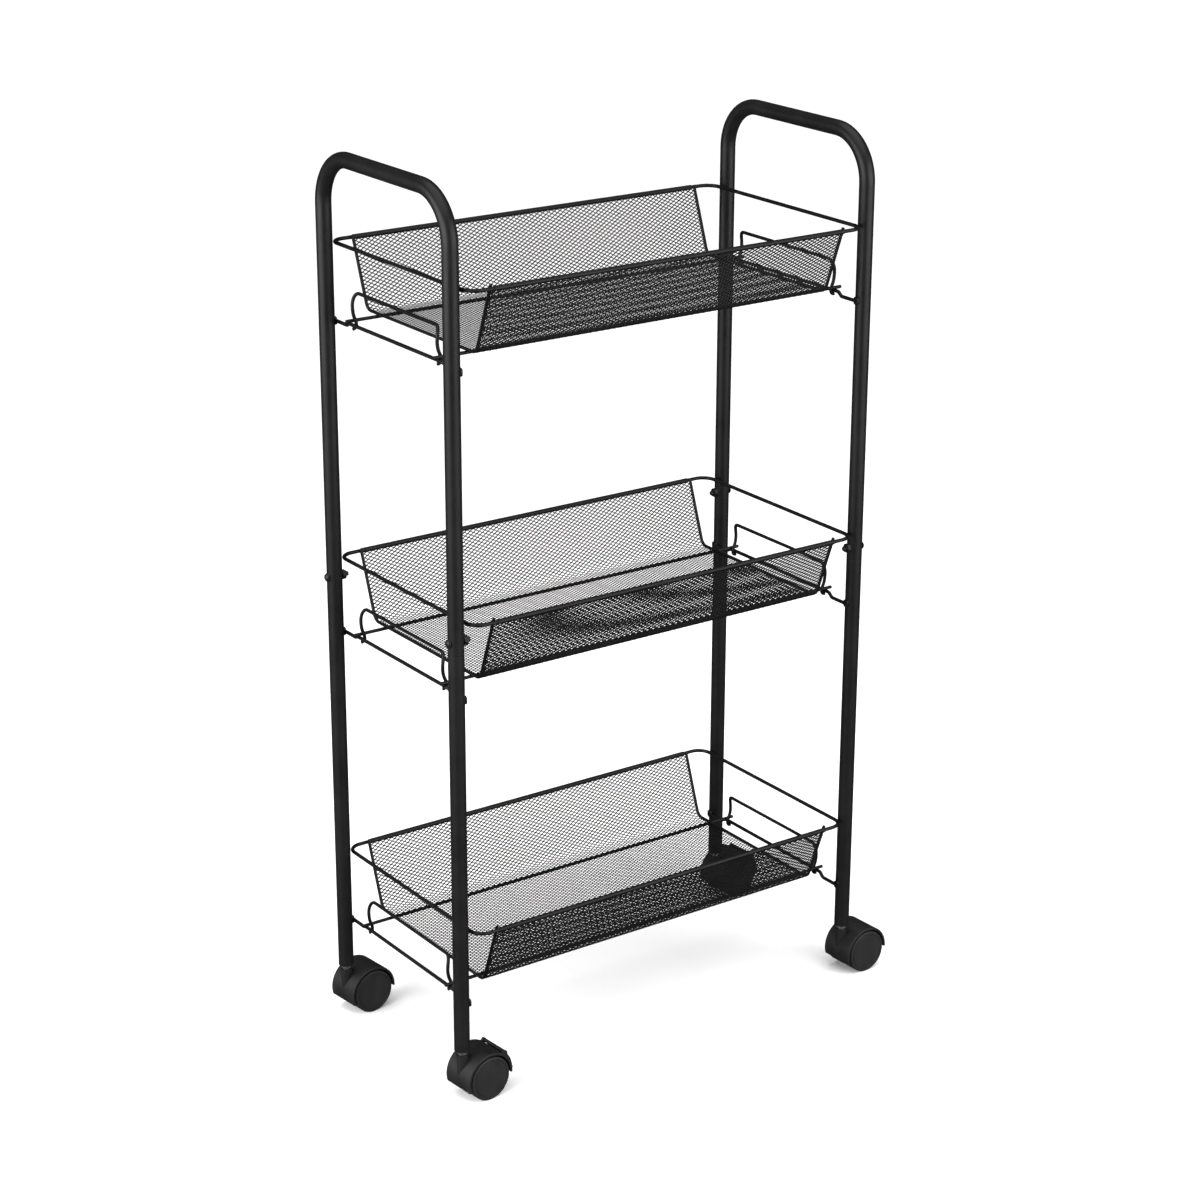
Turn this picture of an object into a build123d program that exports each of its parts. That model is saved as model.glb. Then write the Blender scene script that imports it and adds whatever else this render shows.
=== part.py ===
"""Rolling pantry cart: two tube end frames, three mesh baskets and four twin-wheel swivel casters.

Millimetres, +Z up, long side along X, front at -Y. The origin is on the floor under the middle of
the overall box: the casters trail toward +X and are turned a few degrees toward +Y, so the middle
of the four legs sits a little toward -X and -Y.
"""

import os

from build123d import *

# ---- end frames -------------------------------------------------------------------------------
X_MID, Y_MID = -17.5, -1.73  # middle of the four legs
LEG_X, LEG_Y = 199.5, 92.5  # leg axes from that middle
TUBE_R, TUBE_BORE = 6.5, 5.6
HANDLE_Z, HANDLE_BEND = 750.0, 39.5  # handle bar axis and its bend radius
SEAM_Z, SPIGOT_TOP, SPIGOT_BORE = 389.6, 412.0, 4.7
LEG_END_Z = 45.7  # open lower end of each leg
BOLT_Z, BOLT_R = 400.0, 2.0

# ---- cross rods -------------------------------------------------------------------------------
ROD_R = 1.55
ROD_WELD = 0.06  # how far a rod end sits into the leg wall
ROD_END_X = LEG_X - TUBE_R - ROD_R + ROD_WELD
ROD_MID_X = 193.0
ROD_END_Y = 91.5
PAD_Y, PAD_Z, PAD_T = 5.0, 7.0, 1.7  # flattened rod end on the leg

# ---- baskets ----------------------------------------------------------------------------------
RIM_Z = {"top": 677.0, "middle": 413.0, "bottom": 149.0}
RIM_X, RIM_Y, RIM_CORNER, RIM_R = 189.3, 102.5, 12.0, 1.6
MESH_X, MESH_T, HEM_R = 167.9, 0.5, 2.12
MESH_CORNER_Y, MESH_BEND = 80.0, 9.0
EDGE_X, EDGE_R = 169.3, 1.35
LONG_Y, LONG_X, LONG_R = 65.3, 198.0, 1.45
LOOP_Y, LOOP_R = 62.45, 1.45
LOOP_BOW = (  # x, height above the rod, inset from the loop's side
    (191.9, 6.5, 0.0),
    (193.2, 14.0, 0.0),
    (192.7, 20.0, 0.1),
    (191.3, 24.6, 2.0),
    (190.4, 26.3, 6.5),
)

# heights below the rim wire's axis
ROD_MID_DZ, ROD_END_DZ = -60.0, -62.7
LONG_DZ = ROD_MID_DZ + ROD_R + LONG_R - 0.03
MESH_DZ = LONG_DZ + LONG_R + MESH_T / 2 - 0.01
EDGE_DZ = LONG_DZ + LONG_R + EDGE_R - 0.03

# ---- casters ----------------------------------------------------------------------------------
WHEEL_R, WHEEL_IN, WHEEL_OUT, WHEEL_FACE = 19.0, 2.5, 15.8, 12.8
TRAIL = 17.5  # wheel axis behind the swivel axis
YAW = {"front_left": 4.7, "front_right": 2.6, "back_left": 5.6, "back_right": 4.0}
HOOD_R, HOOD_IN, HOOD_Y = 22.5, 20.5, 15.6
HOOD_FROM, HOOD_SWEEP = -2.0, 199.0  # degrees round the wheel axis
WEB_Y, HUB_R, AXLE_R, AXLE_Y = 1.9, 6.5, 2.0, 13.8
NECK_TOP, NECK_LOW = 42.0, 24.0
STEM_R, STEM_TOP, SHANK_R, SHANK_LOW = 3.5, 84.0, 3.0, 34.5
COLLAR_R, COLLAR_LOW, COLLAR_TOP = 4.45, 42.9, 45.2
PIVOT_ANGLE, PIVOT_R, LEVER_Y = 50.0, 24.0, 12.2
EAR_R, EAR_FROM, EAR_WIDE = 2.0, 12.6, 2.6

SIDES = {"left": -1, "right": 1}
DEPTHS = {"front": -1, "back": 1}


def at(x, y, z):
    """A point given from the middle of the four legs."""
    return (X_MID + x, Y_MID + y, z)


def rod(points, radius, bend, close=False, bore=0.0):
    """A round wire or tube along a polyline with rounded corners."""
    with BuildPart() as made:
        with BuildLine() as line:
            FilletPolyline(*points, radius=bend, close=close)
        path = line.wires()[0]
        with BuildSketch(Plane(origin=path @ 0, z_dir=path % 0)):
            Circle(radius)
            if bore:
                Circle(bore, mode=Mode.SUBTRACT)
        sweep(path=path)
    return made


def turned(origin, axis, profile, rounds=()):
    """A body of revolution. The profile is (distance along the axis, radius) corners."""
    side = (0, 0, 1) if abs(axis[2]) < 0.5 else (1, 0, 0)
    out = Vector(*axis).cross(Vector(*side))
    with BuildPart() as made:
        with BuildSketch(Plane(origin=origin, x_dir=axis, z_dir=out)) as face:
            with BuildLine():
                Polyline(*profile, close=True)
            make_face()
            for u, v, radius in rounds:
                fillet(face.vertices().sort_by_distance((u, v))[0], radius)
        revolve(axis=Axis(origin, axis))
    return made


def cylinder_at(point, direction, radius, length, mode=Mode.ADD):
    """A cylinder centred on a point, added to the part being built."""
    with Locations(Plane(origin=point, z_dir=direction)):
        Cylinder(radius, length, mode=mode)


# ---- end frames -------------------------------------------------------------------------------
def upper_frame(s):
    """One tube bent into an inverted U, open at the seam, drilled for the seam bolts."""
    x = s * LEG_X
    corners = [(-LEG_Y, SEAM_Z), (-LEG_Y, HANDLE_Z), (LEG_Y, HANDLE_Z), (LEG_Y, SEAM_Z)]
    tube = rod([at(x, y, z) for y, z in corners], TUBE_R, HANDLE_BEND, bore=TUBE_BORE)
    with tube:
        rims = tube.edges().filter_by(GeomType.CIRCLE).group_by(Axis.Z)[0]
        fillet(rims.filter_by(lambda e: e.radius > 6), 0.4)
        for y in (-LEG_Y, LEG_Y):
            cylinder_at(at(x, y, BOLT_Z), (1, 0, 0), BOLT_R + 0.05, 16, Mode.SUBTRACT)
    return tube


def lower_leg(s, d):
    """A leg tube with a necked spigot that enters the upper frame."""
    profile = [
        (LEG_END_Z, TUBE_BORE),
        (LEG_END_Z, TUBE_R),
        (SEAM_Z, TUBE_R),
        (SEAM_Z, TUBE_BORE),
        (SPIGOT_TOP, TUBE_BORE),
        (SPIGOT_TOP, SPIGOT_BORE),
        (SEAM_Z - 4, SPIGOT_BORE),
        (SEAM_Z - 7, TUBE_BORE),
    ]
    rounds = [(SEAM_Z, TUBE_R, 0.4), (LEG_END_Z, TUBE_R, 0.35), (SPIGOT_TOP, TUBE_BORE, 0.4)]
    x, y = s * LEG_X, d * LEG_Y
    leg = turned(at(x, y, 0), (0, 0, 1), profile, rounds)
    with leg:
        cylinder_at(at(x, y, BOLT_Z), (1, 0, 0), BOLT_R + 0.05, 16, Mode.SUBTRACT)
    return leg


def cross_rod(s, z):
    """A rod between two legs: middle raised to locate the basket, ends flattened on the legs."""
    side = [
        (ROD_END_X, ROD_END_Y, ROD_END_DZ),
        (ROD_END_X, 74.5, ROD_END_DZ),
        (ROD_MID_X, 68.5, ROD_MID_DZ),
    ]
    half = [at(s * x, y, z + dz) for x, y, dz in side]
    other = [at(s * x, -y, z + dz) for x, y, dz in reversed(side)]
    made = rod(half + other, ROD_R, 5.0)
    with made:
        for d in DEPTHS.values():
            face = s * (LEG_X - TUBE_R + ROD_WELD - PAD_T / 2)
            with Locations(Plane(origin=at(face, d * LEG_Y, z + ROD_END_DZ), z_dir=(1, 0, 0))):
                pad = Box(PAD_Z, PAD_Y, PAD_T, mode=Mode.PRIVATE)
            add(pad.fillet(2.3, pad.edges().filter_by(Axis.X)))
    return made


def bolts():
    """Seam bolts: shank and dome head on the outer side of each leg."""
    profile = [
        (-TUBE_R - 2.4, 0),
        (-TUBE_R - 2.4, 1.6),
        (-TUBE_R - 1.5, 3.1),
        (-TUBE_R, 3.7),
        (-TUBE_R, BOLT_R),
        (TUBE_R + 6.0, BOLT_R),
        (TUBE_R + 6.0, 0),
    ]
    rounds = [(-TUBE_R - 1.5, 3.1, 1.2), (TUBE_R + 6.0, BOLT_R, 0.5)]
    with BuildPart() as made:
        for s in SIDES.values():
            for d in DEPTHS.values():
                one = turned(at(s * LEG_X, d * LEG_Y, BOLT_Z), (-s, 0, 0), profile, rounds)
                add(one.part)
    return made


def nuts():
    """Seam nuts against the inner side of each leg."""
    with BuildPart() as made:
        for s in SIDES.values():
            for d in DEPTHS.values():
                face = Plane(
                    origin=at(s * (LEG_X - TUBE_R), d * LEG_Y, BOLT_Z),
                    x_dir=(0, 1, 0),
                    z_dir=(-s, 0, 0),
                )
                with BuildSketch(face):
                    RegularPolygon(4.04, 6)
                    Circle(BOLT_R + 0.03, mode=Mode.SUBTRACT)
                extrude(amount=3.2)
    return made


def sockets():
    """Caster sockets pressed into the open leg ends."""
    profile = [
        (LEG_END_Z, STEM_R + 0.06),
        (LEG_END_Z, TUBE_BORE - 0.02),
        (STEM_TOP + 4, TUBE_BORE - 0.02),
        (STEM_TOP + 4, 0),
        (STEM_TOP + 1, 0),
        (STEM_TOP + 1, STEM_R + 0.06),
    ]
    with BuildPart() as made:
        for s in SIDES.values():
            for d in DEPTHS.values():
                add(turned(at(s * LEG_X, d * LEG_Y, 0), (0, 0, 1), profile).part)
    return made


# ---- baskets ----------------------------------------------------------------------------------
def rim(z):
    """The closed rim wire."""
    corners = [(-RIM_X, -RIM_Y), (RIM_X, -RIM_Y), (RIM_X, RIM_Y), (-RIM_X, RIM_Y)]
    return rod([at(x, y, z) for x, y in corners], RIM_R, RIM_CORNER, close=True)


def mesh(z):
    """The trough sheet: two sloping sides and a floor, hemmed round the rim wire."""
    corners = [
        (-RIM_Y + 1.3, z - 1.4),
        (-MESH_CORNER_Y, z + MESH_DZ),
        (MESH_CORNER_Y, z + MESH_DZ),
        (RIM_Y - 1.3, z - 1.4),
    ]
    with BuildPart() as made:
        with BuildSketch(Plane(origin=at(0, 0, 0), x_dir=(0, 1, 0), z_dir=(1, 0, 0))):
            with BuildLine() as line:
                FilletPolyline(*corners, radius=MESH_BEND)
            trace(line.edges(), MESH_T)
            with Locations((-RIM_Y, z), (RIM_Y, z)):
                Circle(HEM_R)
                Circle(RIM_R + 0.02, mode=Mode.SUBTRACT)
        extrude(amount=MESH_X, both=True)
    return made


def edge_wire(s, z):
    """The wire that closes one open end of the trough, its tips standing above the rim."""
    corners = [(-100.26, 2.3), (-79.6, EDGE_DZ), (79.6, EDGE_DZ), (100.26, 2.3)]
    return rod([at(s * EDGE_X, y, z + dz) for y, dz in corners], EDGE_R, 8.0)


def long_wires(z):
    """Two straight wires under the floor, resting on the cross rods."""
    with BuildPart() as made:
        for d in DEPTHS.values():
            cylinder_at(at(0, d * LONG_Y, z + LONG_DZ), (1, 0, 0), LONG_R, 2 * LONG_X)
        fillet(made.edges().filter_by(GeomType.CIRCLE), 0.6)
    return made


def loop(s, z):
    """The bowed guard loop. Each foot turns under the cross rod."""
    foot = LOOP_R + ROD_R - 0.03

    def leg(d):
        """Hook and bowed side on one side, from the foot up to the straight top."""

        def p(x, height, inset=0.0):
            return at(x, d * (LOOP_Y - inset), z + ROD_MID_DZ + height)

        under, rise = p(ROD_MID_X, -foot), p(ROD_MID_X - foot, 0)
        Line(p(ROD_MID_X + 0.2, -foot), under)
        ThreePointArc(under, p(ROD_MID_X - foot * 0.70711, -foot * 0.70711), rise)
        bow = [p(*point) for point in LOOP_BOW]
        Spline(rise, *bow, tangents=[(0, 0, 1), (0, -d, 0)])
        return bow[-1]

    with BuildPart() as made:
        with BuildLine() as line:
            Line(leg(-1), leg(1))
        path = line.wires()[0]
        with BuildSketch(Plane(origin=path @ 0, z_dir=path % 0)):
            Circle(LOOP_R)
        sweep(path=path)
        if s < 0:
            mirror(about=Plane.YZ.offset(X_MID), mode=Mode.REPLACE)
    return made


# ---- casters ----------------------------------------------------------------------------------
def round_axle(x, y, r, degrees, across=0.0):
    """A point at a radius and angle round the wheel axis of the caster on the leg at x, y."""
    p = Vector(r, 0).rotate(Axis.Z, degrees)
    return at(x + TRAIL + p.X, y + across, WHEEL_R + p.Y)


def side_plane(x, y):
    """The plane across the wheel axis: local x is X and local y is Z."""
    return Plane(origin=at(x + TRAIL, y, WHEEL_R), x_dir=(1, 0, 0), z_dir=(0, -1, 0))


def swivelled(made, x, y, degrees):
    """The same part turned about the swivel axis of the caster on the leg at x, y."""
    with BuildPart() as placed:
        add(made.part.rotate(Axis(at(x, y, 0), (0, 0, 1)), degrees))
    return placed


def hood(x, y, brake):
    """The caster body: curved hood, centre web, axle hub and stem neck."""
    plane = side_plane(x, y)
    with BuildPart() as made:
        with BuildSketch(plane):
            with BuildLine():
                arc = CenterArc((0, 0), HOOD_R, HOOD_FROM, HOOD_SWEEP)
                Polyline(arc @ 0, (0, 0), arc @ 1)
            make_face()
        extrude(amount=HOOD_Y, both=True)
        with BuildSketch(Plane(origin=at(x, y, NECK_LOW))):
            Circle(4.2)
        with BuildSketch(Plane(origin=at(x, y, NECK_TOP))):
            Circle(5.0)
        loft()
        for d in (-1, 1):
            with BuildSketch(plane.offset(-d * WEB_Y)):
                Circle(HOOD_IN)
            extrude(amount=-d * (HOOD_Y + 1), mode=Mode.SUBTRACT)
        rims = made.edges().filter_by(lambda e: e.geom_type == GeomType.CIRCLE)
        fillet(rims.filter_by(lambda e: abs(e.radius - HOOD_R) < 0.01 and e.length > 20), 0.7)
        cylinder_at(at(x + TRAIL, y, WHEEL_R), (0, 1, 0), HUB_R, 2 * WEB_Y)
        cylinder_at(at(x + TRAIL, y, WHEEL_R), (0, 1, 0), AXLE_R + 0.02, 8, Mode.SUBTRACT)
        with BuildSketch(Plane(origin=at(x, y, NECK_TOP))):
            Circle(SHANK_R + 0.02)
        extrude(amount=SHANK_LOW - NECK_TOP, mode=Mode.SUBTRACT)
        if brake:
            for d in (-1, 1):
                with BuildSketch(plane.offset(-d * EAR_FROM)):
                    with Locations(Vector(PIVOT_R, 0).rotate(Axis.Z, PIVOT_ANGLE)):
                        Circle(EAR_R)
                    with Locations(Vector(22.5, 0).rotate(Axis.Z, PIVOT_ANGLE)):
                        Rectangle(3.0, 2 * EAR_R, rotation=PIVOT_ANGLE)
                extrude(amount=-d * EAR_WIDE)
            pivot = round_axle(x, y, PIVOT_R, PIVOT_ANGLE)
            cylinder_at(pivot, (0, 1, 0), 1.26, 2 * LEVER_Y + 8, Mode.SUBTRACT)
    return made


def stem(x, y):
    """The zinc stem: shank in the neck, collar, and shaft in the leg socket."""
    profile = [
        (SHANK_LOW + 0.1, 0),
        (SHANK_LOW + 0.1, SHANK_R),
        (COLLAR_LOW, SHANK_R),
        (COLLAR_LOW, COLLAR_R),
        (COLLAR_TOP, COLLAR_R),
        (COLLAR_TOP, STEM_R),
        (STEM_TOP - 6, STEM_R),
        (STEM_TOP - 5.5, STEM_R - 0.6),
        (STEM_TOP - 4, STEM_R - 0.6),
        (STEM_TOP - 3.5, STEM_R),
        (STEM_TOP, STEM_R),
        (STEM_TOP, 0),
    ]
    rounds = [(STEM_TOP, STEM_R, 0.9), (COLLAR_TOP, COLLAR_R, 0.4)]
    return turned(at(x, y, 0), (0, 0, 1), profile, rounds)


def axle(x, y):
    """The pin through the web, its ends inside the wheels."""
    profile = [(-AXLE_Y, 0), (-AXLE_Y, AXLE_R), (AXLE_Y, AXLE_R), (AXLE_Y, 0)]
    rounds = [(-AXLE_Y, AXLE_R, 0.4), (AXLE_Y, AXLE_R, 0.4)]
    return turned(at(x + TRAIL, y, WHEEL_R), (0, 1, 0), profile, rounds)


def wheel(x, y, d):
    """One wheel of the pair: hub, outer face with a shallow ring, and rim."""
    profile = [
        (WHEEL_IN, AXLE_R + 0.06),
        (WHEEL_IN, 5.0),
        (WHEEL_FACE, 5.0),
        (WHEEL_FACE, 15.5),
        (WHEEL_IN, 15.5),
        (WHEEL_IN, WHEEL_R),
        (WHEEL_OUT, WHEEL_R),
        (WHEEL_OUT, 16.6),
        (WHEEL_OUT - 0.4, 16.3),
        (WHEEL_OUT - 0.4, 15.9),
        (WHEEL_OUT, 15.6),
        (WHEEL_OUT, 0),
        (AXLE_Y + 0.4, 0),
        (AXLE_Y + 0.4, AXLE_R + 0.06),
    ]
    rounds = [(WHEEL_OUT, WHEEL_R, 1.2), (WHEEL_IN, WHEEL_R, 0.8), (WHEEL_FACE, 15.5, 1.0)]
    return turned(at(x + TRAIL, y, WHEEL_R), (0, d, 0), profile, rounds)


def brake_lever(x, y):
    """The brake pedal: a curved plate on a barrel with two pivot pins."""
    with BuildPart() as made:
        with BuildSketch(side_plane(x, y)):
            with BuildLine():
                outer = CenterArc((0, 0), HOOD_R + 2.2, 6, PIVOT_ANGLE - 6)
                inner = CenterArc((0, 0), HOOD_R + 0.3, 6, PIVOT_ANGLE - 6)
                tip = Vector(HOOD_R + 3.2, 0).rotate(Axis.Z, 2.0)
                heel = Vector(HOOD_R + 0.3, 0).rotate(Axis.Z, 3.0)
                Polyline(outer @ 0, tip, heel, inner @ 0)
                Line(outer @ 1, inner @ 1)
            make_face()
        extrude(amount=LEVER_Y, both=True)
        pivot = round_axle(x, y, PIVOT_R + 0.3, PIVOT_ANGLE)
        cylinder_at(pivot, (0, 1, 0), 1.55, 2 * LEVER_Y)
        pivot = round_axle(x, y, PIVOT_R, PIVOT_ANGLE)
        cylinder_at(pivot, (0, 1, 0), 1.2, 2 * LEVER_Y + 5.2)
    return made


# ---- build and write --------------------------------------------------------------------------
nodes = {}
for side, s in SIDES.items():
    nodes[f"{side}_upper_frame"] = upper_frame(s)
    for depth, d in DEPTHS.items():
        nodes[f"{depth}_{side}_lower_leg"] = lower_leg(s, d)
    for tier, z in RIM_Z.items():
        nodes[f"{side}_{tier}_cross_rod"] = cross_rod(s, z)
nodes["joint_bolts"] = bolts()
nodes["joint_nuts"] = nuts()
nodes["caster_sockets"] = sockets()

for tier, z in RIM_Z.items():
    nodes[f"{tier}_rim"] = rim(z)
    nodes[f"{tier}_mesh"] = mesh(z)
    nodes[f"{tier}_long_wires"] = long_wires(z)
    for side, s in SIDES.items():
        nodes[f"{tier}_{side}_edge_wire"] = edge_wire(s, z)
        nodes[f"{tier}_{side}_loop"] = loop(s, z)

BRAKED = ("front_left", "back_right")
for depth, d in DEPTHS.items():
    for side, s in SIDES.items():
        corner, x, y = f"{depth}_{side}", s * LEG_X, d * LEG_Y
        pieces = {
            "hood": hood(x, y, corner in BRAKED),
            "stem": stem(x, y),
            "axle": axle(x, y),
            "wheel_a": wheel(x, y, -1),
            "wheel_b": wheel(x, y, 1),
        }
        if corner in BRAKED:
            pieces["brake"] = brake_lever(x, y)
        for name, made in pieces.items():
            nodes[f"{corner}_{name}"] = swivelled(made, x, y, YAW[corner])

os.makedirs("parts", exist_ok=True)
for name, node in nodes.items():
    node.part.label = name
    export_step(node.part, f"parts/{name}.step")
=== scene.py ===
"""A three-tier rolling cart round its CAD frame.

Adds procedural materials, expanded-metal baskets, studio light and the camera. All in metres.
"""

import math

import bmesh
import bpy
import numpy as np
from mathutils import Matrix, Vector


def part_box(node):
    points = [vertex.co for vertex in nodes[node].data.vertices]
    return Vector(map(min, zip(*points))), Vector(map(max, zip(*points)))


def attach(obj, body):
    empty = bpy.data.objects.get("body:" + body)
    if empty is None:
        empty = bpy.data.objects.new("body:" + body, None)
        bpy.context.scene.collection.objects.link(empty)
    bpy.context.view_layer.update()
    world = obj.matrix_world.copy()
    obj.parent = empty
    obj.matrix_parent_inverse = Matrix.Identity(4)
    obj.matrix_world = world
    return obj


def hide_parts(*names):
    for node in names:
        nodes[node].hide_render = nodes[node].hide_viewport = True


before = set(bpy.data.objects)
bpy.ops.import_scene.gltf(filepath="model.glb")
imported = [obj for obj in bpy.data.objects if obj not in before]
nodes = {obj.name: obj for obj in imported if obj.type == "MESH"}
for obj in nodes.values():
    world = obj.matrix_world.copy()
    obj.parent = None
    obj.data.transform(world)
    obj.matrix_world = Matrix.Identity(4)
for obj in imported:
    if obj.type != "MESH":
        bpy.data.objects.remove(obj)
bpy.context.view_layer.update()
MM = 0.001
TIERS = ("top", "middle", "bottom")


# ---- materials --------------------------------------------------------------------------------
def grey(v):
    """An RGBA grey."""
    return (v, v, v, 1.0)


class Shader:
    """A node material under construction, with the object's own coordinates as the pattern space."""

    def __init__(self, name):
        self.mat = bpy.data.materials.new(name)
        self.mat.use_nodes = True
        self.tree = self.mat.node_tree
        self.bsdf = self.tree.nodes["Principled BSDF"]
        self.coords = self.tree.nodes.new("ShaderNodeTexCoord").outputs["Object"]
        self.bump = None

    def node(self, kind, **inputs):
        made = self.tree.nodes.new(kind)
        for key, value in inputs.items():
            made.inputs[key.replace("_", " ")].default_value = value
        return made

    def link(self, out, into):
        self.tree.links.new(out, into)

    def space(self, stretch):
        """The pattern space stretched along each axis."""
        mapping = self.node("ShaderNodeMapping", Scale=stretch)
        self.link(self.coords, mapping.inputs["Vector"])
        return mapping.outputs["Vector"]

    def noise(self, size_mm, detail=2.0, rough=0.5, stretch=(1, 1, 1), warp=0.0):
        """Noise with features of about that size."""
        n = self.node(
            "ShaderNodeTexNoise", Scale=1 / (size_mm * MM), Detail=detail, Roughness=rough, Distortion=warp
        )
        self.link(self.space(stretch), n.inputs["Vector"])
        return n.outputs["Fac"]

    def cells(self, size_mm):
        """Distance to the nearest point of a random scatter, for moulded grain."""
        n = self.node("ShaderNodeTexVoronoi", Scale=1 / (size_mm * MM))
        self.link(self.coords, n.inputs["Vector"])
        return n.outputs["Distance"]

    def span(self, value, low, high, start=0.3, end=0.7):
        """The value from start to end mapped to low to high."""
        m = self.node("ShaderNodeMapRange", From_Min=start, From_Max=end, To_Min=low, To_Max=high)
        self.link(value, m.inputs["Value"])
        return m.outputs["Result"]

    def blend(self, factor, first, second, mode="MIX"):
        """Mixes two colours or outputs by a factor."""
        m = self.tree.nodes.new("ShaderNodeMix")
        m.data_type, m.blend_type = "RGBA", mode
        for value, slot in ((factor, 0), (first, 6), (second, 7)):
            if hasattr(value, "links"):
                self.link(value, m.inputs[slot])
            else:
                m.inputs[slot].default_value = value
        return m.outputs[2]

    def relief(self, height, depth_mm, strength=1.0):
        """Adds a bump layer under those already made."""
        b = self.node("ShaderNodeBump", Strength=strength, Distance=depth_mm * MM)
        self.link(height, b.inputs["Height"])
        if self.bump:
            self.link(self.bump, b.inputs["Normal"])
        self.bump = b.outputs["Normal"]
        self.link(self.bump, self.bsdf.inputs["Normal"])

    def finish(self, colour, rough, metallic=0.0, specular=0.5):
        self.link(colour, self.bsdf.inputs["Base Color"])
        self.link(rough, self.bsdf.inputs["Roughness"])
        self.bsdf.inputs["Metallic"].default_value = metallic
        self.bsdf.inputs["Specular IOR Level"].default_value = specular
        return self.mat


def powder_coat(name, dark, light, rough, peel_mm=1.3, peel_depth=0.018):
    """Satin black powder coat: orange peel, fine flecks and faint rubbed patches."""
    s = Shader(name)
    cloud = s.span(s.noise(38, 3, 0.6), 0, 1)
    fleck = s.span(s.noise(0.35, 1), 0, 1, 0.62, 0.75)
    colour = s.blend(cloud, grey(dark), grey(light))
    colour = s.blend(s.span(fleck, 0, 0.35, 0, 1), colour, grey(light * 1.7))
    s.relief(s.noise(peel_mm, 2, 0.55), peel_depth)
    s.relief(s.noise(0.28, 1), 0.004)
    return s.finish(colour, s.span(s.noise(9, 3), rough - 0.05, rough + 0.06), specular=0.15)


def moulded(name, dark, light, rough, grain_mm=0.35, grain_depth=0.012):
    """Moulded black plastic: spark-eroded grain, flow clouding and light scuffs."""
    s = Shader(name)
    flow = s.span(s.noise(11, 3, 0.55, (1, 1, 0.35), 0.6), 0, 1)
    scuff = s.span(s.noise(1.6, 4, 0.7, (1, 1, 6)), 0, 1, 0.64, 0.72)
    colour = s.blend(flow, grey(dark), grey(light))
    colour = s.blend(s.span(scuff, 0, 0.4, 0, 1), colour, grey(light * 1.6))
    s.relief(s.cells(grain_mm), grain_depth)
    s.relief(s.noise(5, 2), 0.02)
    return s.finish(colour, s.span(flow, rough - 0.04, rough + 0.05, 0, 1), specular=0.15)


def zinc(name):
    """Bright zinc plate with faint turning marks round the stem."""
    s = Shader(name)
    tarnish = s.span(s.noise(2.4, 3), 0, 1)
    colour = s.blend(tarnish, (0.78, 0.79, 0.80, 1), (0.60, 0.62, 0.65, 1))
    s.relief(s.noise(0.3, 1, 0.5, (0.05, 0.05, 1)), 0.006)
    return s.finish(colour, s.span(tarnish, 0.2, 0.36, 0, 1), metallic=1.0)


TUBE = powder_coat("tube_powder_coat", 0.004, 0.007, 0.38)
WIRE = powder_coat("wire_powder_coat", 0.002, 0.004, 0.42, 0.9, 0.012)
MESH = powder_coat("mesh_powder_coat", 0.002, 0.004, 0.45, 0.7, 0.010)
FASTENER = powder_coat("fastener_black", 0.004, 0.008, 0.34, 0.5, 0.006)
HOOD = moulded("hood_plastic", 0.007, 0.011, 0.46)
WHEEL = moulded("wheel_plastic", 0.010, 0.014, 0.42, 0.5, 0.008)
LEVER = moulded("lever_plastic", 0.007, 0.011, 0.44)
SOCKET = moulded("socket_plastic", 0.02, 0.03, 0.5)
ZINC = zinc("zinc_plate")


def paint(name, material):
    """Gives a CAD node its material."""
    mesh = nodes[name].data
    mesh.materials.clear()
    mesh.materials.append(material)
    for slot in nodes[name].material_slots:
        slot.material = material


FINISHES = (  # the first key that a node's name holds decides; all other nodes are wire
    ("lower_leg", TUBE),
    ("upper_frame", TUBE),
    ("joint_", FASTENER),
    ("_hood", HOOD),
    ("_wheel_", WHEEL),
    ("_brake", LEVER),
    ("_stem", ZINC),
    ("_axle", ZINC),
    ("caster_sockets", SOCKET),
)
for name in nodes:
    paint(name, next((material for key, material in FINISHES if key in name), WIRE))

# ---- expanded-metal baskets -------------------------------------------------------------------
COLUMNS, ROWS = 58, 85  # diamonds along the basket and across its developed width
STRAND, SHEET = 0.78 * MM, 0.46 * MM  # width and thickness of the metal
TILT = 0.22 * MM  # how far each strand's edges stand off the sheet's mid-plane
LAP = 1.2 * MM  # how far the lattice runs past the CAD sheet's ends, onto the edge wires
FOLD_Y, FOLD_R = 80.0 * MM, 9.0 * MM  # fold corner from the basket's middle, and its radius
CAD_SHEET = 0.5 * MM
RIM_Y = 102.5 * MM  # the rim wire's axis from the basket's middle
PANEL_IN, PANEL_DOWN = 3.42 * MM, 1.4 * MM  # panel top, inside the hem and below the rim's axis
HEM_INNER, HEM_OUTER = 1.63 * MM, 2.11 * MM
HEM_START, HEM_OPEN, HEM_STEPS = 0.35, 0.55, 30  # radians from the panel, radians left open


def basket_profile(tier):
    """The panel's top point, floor height, rim height, ends and middle, from the CAD boxes."""
    (x0, y0, z0), (x1, y1, z1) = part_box(f"{tier}_mesh")
    rim_lo, rim_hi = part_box(f"{tier}_rim")
    rim_z = (rim_lo.z + rim_hi.z) / 2
    y_mid = (y0 + y1) / 2
    floor = z0 + CAD_SHEET / 2
    top = Vector((y1 - y_mid - PANEL_IN, rim_z - PANEL_DOWN))
    return top, floor, rim_z, x0, x1, y_mid


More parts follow.
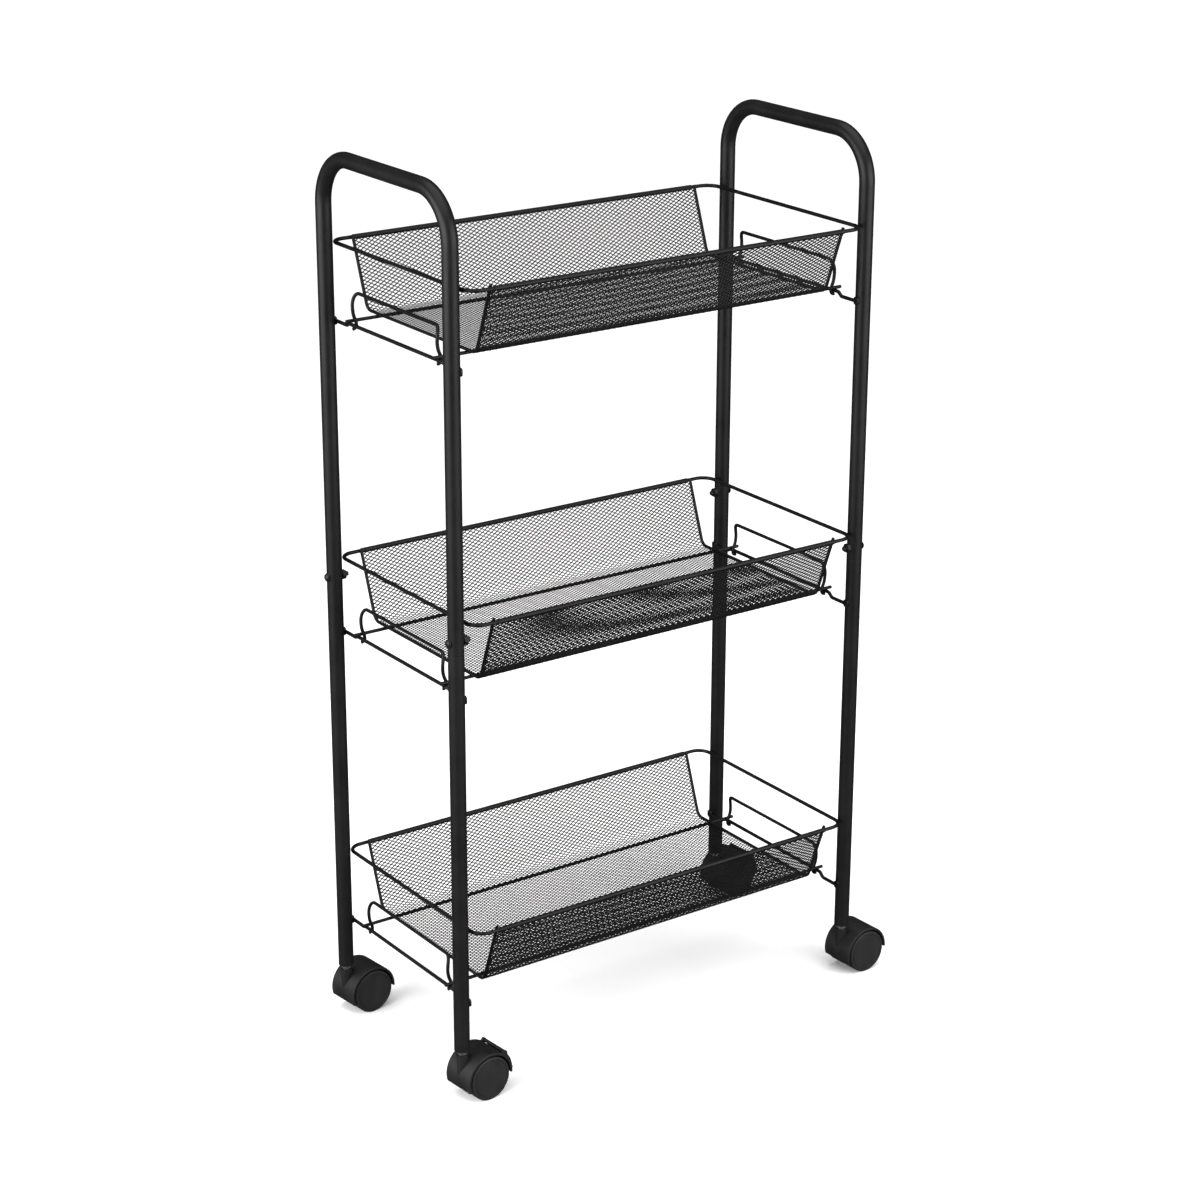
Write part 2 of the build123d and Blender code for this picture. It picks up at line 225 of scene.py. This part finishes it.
def flat_lattice(length, width):
    """Expanded metal lying flat: X along the basket, Y the developed width, Z the thickness.

    It is made larger than needed, and then trimmed to the width and to the length and its laps.
    """
    px, ps = length / COLUMNS, width / ROWS
    half = math.hypot(px / 2, ps / 2)
    open_share = 1 - STRAND / 2 / (px / 2 * ps / 2 / half)
    a, b = px / 2 * open_share, ps / 2 * open_share
    rows, cols = 2 * ROWS + 5, COLUMNS + 4
    corner = np.array([(a, 0, 0), (0, b, -TILT), (-a, 0, 0), (0, -b, TILT)])
    r, c = np.meshgrid(np.arange(rows), np.arange(cols), indexing="ij")
    across = (c + (r % 2) / 2 - cols / 2 + 0.25) * px
    centre = np.stack([across, (r - (rows - 1) / 2) * ps / 2, np.zeros(r.shape)], -1)
    verts = []
    for side in (1, -1):
        verts.append(centre[:, :, None, :] + corner + np.array([0, 0, side * SHEET / 2]))
    verts = np.stack(verts, 0)  # side, row, column, corner
    count = rows * cols * 4

    def at(side, row, col, which):
        return side * count + (row * cols + col) * 4 + which

    faces = []
    R, T, L, B = 0, 1, 2, 3  # right, top, left and bottom corner of an opening
    for row in range(rows):
        for col in range(cols):
            for k in range(4):  # the walls of one opening
                n = (k + 1) % 4
                wall = ((0, k), (0, n), (1, n), (1, k))
                faces.append(tuple(at(side, row, col, which) for side, which in wall))
            if row + 1 == rows:
                continue
            right, left = col + row % 2, col + row % 2 - 1  # openings above on either side
            rings = []
            if right < cols:
                rings.append(((row, col, R), (row + 1, right, B), (row + 1, right, L), (row, col, T)))
            if left >= 0:
                rings.append(((row, col, T), (row + 1, left, R), (row + 1, left, B), (row, col, L)))
            if row > 0 and col + 1 < cols and right < cols:
                rings.append(((row, col, R), (row - 1, right, T), (row, col + 1, L), (row + 1, right, B)))
            for ring in rings:
                faces.append([at(0, *p) for p in ring])
                faces.append([at(1, *p) for p in reversed(ring)])
    mesh = bpy.data.meshes.new("lattice")
    mesh.from_pydata(verts.reshape(-1, 3).tolist(), [], faces)
    bm = bmesh.new()
    bm.from_mesh(mesh)
    bpy.data.meshes.remove(mesh)
    for axis, reach in (((1, 0, 0), length / 2 + LAP), ((0, 1, 0), width / 2)):
        for sign in (1, -1):
            n = Vector(axis) * sign
            everything = bm.verts[:] + bm.edges[:] + bm.faces[:]
            bmesh.ops.bisect_plane(
                bm, geom=everything, plane_co=n * reach, plane_no=n, clear_outer=True
            )
    bmesh.ops.holes_fill(bm, edges=[e for e in bm.edges if e.is_boundary], sides=8)
    return bm


def trough(top, floor):
    """A function from developed width to the sheet's y, z and normal, and the full width."""
    corner = Vector((FOLD_Y, floor))
    slope = top - corner
    turn = math.atan2(slope.y, slope.x)
    tangent = FOLD_R * math.tan(turn / 2)
    flat, arc, side = corner.x - tangent, FOLD_R * turn, slope.length - tangent
    up = slope.normalized()

    def place(s):
        sign, s = (1, s) if s >= 0 else (-1, -s)
        if s <= flat:
            p, n = Vector((s, floor)), Vector((0, -1))
        elif s <= flat + arc:
            t = (s - flat) / FOLD_R
            n = Vector((math.sin(t), -math.cos(t)))
            p = Vector((flat, floor + FOLD_R)) + n * FOLD_R
        else:
            n = Vector((up.y, -up.x))
            p = corner + up * (tangent + s - flat - arc)
        return sign * p.x, p.y, sign * n.x, n.y

    return place, 2 * (flat + arc + side)


def hem(bm, y, z, x0, x1, towards):
    """The sheet's rolled edge round the rim wire: an open roll that starts beside the panel."""
    start, sweep, steps = towards + HEM_START, 2 * math.pi - HEM_OPEN, HEM_STEPS
    rings = []
    for x in (x0, x1):
        ring = []
        for r, order in ((HEM_OUTER, range(steps + 1)), (HEM_INNER, range(steps, -1, -1))):
            for k in order:
                t = start + sweep * k / steps
                ring.append(bm.verts.new((x, y + r * math.cos(t), z + r * math.sin(t))))
        rings.append(ring)
    n = len(rings[0])
    for k in range(n):
        j = (k + 1) % n
        bm.faces.new((rings[0][k], rings[1][k], rings[1][j], rings[0][j]))
    for ring, flip in ((rings[0], False), (rings[1], True)):
        for k in range(steps):
            quad = (ring[k], ring[k + 1], ring[n - 2 - k], ring[n - 1 - k])
            bm.faces.new(tuple(reversed(quad)) if flip else quad)


def basket(tier):
    """One tier's trough of expanded metal, in place of its CAD sheet."""
    top, floor, rim_z, x0, x1, y_mid = basket_profile(tier)
    place, width = trough(top, floor)
    x_mid = (x0 + x1) / 2
    bm = flat_lattice(x1 - x0, width)
    for v in bm.verts:
        y, z, ny, nz = place(v.co.y)
        v.co = Vector((x_mid + v.co.x, y_mid + y + ny * v.co.z, z + nz * v.co.z))
    for sign in (1, -1):
        towards = math.atan2(top.y - rim_z, sign * (top.x - RIM_Y))
        hem(bm, y_mid + sign * RIM_Y, rim_z, x0, x1, towards)
    bmesh.ops.recalc_face_normals(bm, faces=bm.faces)
    mesh = bpy.data.meshes.new(f"{tier}_expanded_metal")
    bm.to_mesh(mesh)
    bm.free()
    mesh.materials.append(MESH)
    piece = bpy.data.objects.new(mesh.name, mesh)
    bpy.context.scene.collection.objects.link(piece)
    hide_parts(f"{tier}_mesh")
    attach(piece, "cart")


for tier in TIERS:
    basket(tier)


# ---- floor, light and camera ------------------------------------------------------------------
def floor_plane():
    """A pale matte floor, left out of the part's reflections."""
    reach = 14.0
    corners = [(-reach, -reach, 0), (reach, -reach, 0), (reach, reach, 0), (-reach, reach, 0)]
    mesh = bpy.data.meshes.new("studio_floor")
    mesh.from_pydata(corners, [], [(0, 1, 2, 3)])
    s = Shader("studio_floor")
    s.bsdf.inputs["Specular IOR Level"].default_value = 0.1
    s.bsdf.inputs["Base Color"].default_value = grey(0.86)
    s.bsdf.inputs["Roughness"].default_value = 0.9
    mesh.materials.append(s.mat)
    obj = bpy.data.objects.new("studio_floor", mesh)
    obj.visible_glossy = False
    bpy.context.scene.collection.objects.link(obj)


def area_light(name, place, aim, size, power):
    """A rectangular softbox turned to a point."""
    data = bpy.data.lights.new(name, "AREA")
    data.shape, data.size, data.size_y, data.energy = "RECTANGLE", size[0], size[1], power
    obj = bpy.data.objects.new(name, data)
    obj.location = place
    obj.rotation_euler = (Vector(aim) - Vector(place)).to_track_quat("-Z", "Y").to_euler()
    bpy.context.scene.collection.objects.link(obj)


def studio_world():
    """A dim room round the part, seen as a pale grey backdrop by the camera."""
    world = bpy.data.worlds.new("studio")
    world.use_nodes = True
    tree = world.node_tree
    room = tree.nodes["Background"]
    room.inputs["Color"].default_value = (1, 1, 1, 1)
    room.inputs["Strength"].default_value = 0.05
    backdrop = tree.nodes.new("ShaderNodeBackground")
    backdrop.inputs["Strength"].default_value = 1.0
    path, mix = tree.nodes.new("ShaderNodeLightPath"), tree.nodes.new("ShaderNodeMixShader")
    tree.links.new(path.outputs["Is Camera Ray"], mix.inputs["Fac"])
    tree.links.new(room.outputs[0], mix.inputs[1])
    tree.links.new(backdrop.outputs[0], mix.inputs[2])
    tree.links.new(mix.outputs[0], tree.nodes["World Output"].inputs["Surface"])
    bpy.context.scene.world = world


def sun(name, direction, strength, spread_deg):
    """A broad, even light from one direction."""
    data = bpy.data.lights.new(name, "SUN")
    data.energy, data.angle = strength, math.radians(spread_deg)
    obj = bpy.data.objects.new(name, data)
    obj.rotation_euler = Vector(direction).to_track_quat("-Z", "Y").to_euler()
    bpy.context.scene.collection.objects.link(obj)


floor_plane()
sun("ceiling", (0.05, 0.1, -1), 3.6, 80)
area_light("softbox_left", (-2.0, 0.1, 0.8), (0, 0, 0.4), (2.4, 1.5), 90)
area_light("softbox_right", (0.73, -1.87, 0.8), (0, 0, 0.4), (2.4, 1.5), 70)
studio_world()
bpy.context.scene.view_settings.view_transform = "Standard"


def photo_camera(place, heading_deg, tilt_deg, roll_deg):
    """The camera at the photograph's viewing angle."""
    data = bpy.data.cameras.new("camera")
    data.lens, data.sensor_width = 87.2, 36.0
    data.shift_x, data.shift_y = -0.0204, 0.0011
    data.clip_start, data.clip_end = 0.05, 60
    camera = bpy.data.objects.new("camera", data)
    turn = Matrix.Rotation(math.radians(heading_deg), 4, "Z")
    turn = turn @ Matrix.Rotation(math.radians(tilt_deg), 4, "X")
    turn = turn @ Matrix.Rotation(math.radians(roll_deg), 4, "Z")
    camera.matrix_world = Matrix.Translation(place) @ turn
    bpy.context.scene.collection.objects.link(camera)
    bpy.context.scene.camera = camera


photo_camera((-1.3327, -1.8699, 1.2004), -35.69, 69.90, 0.349)
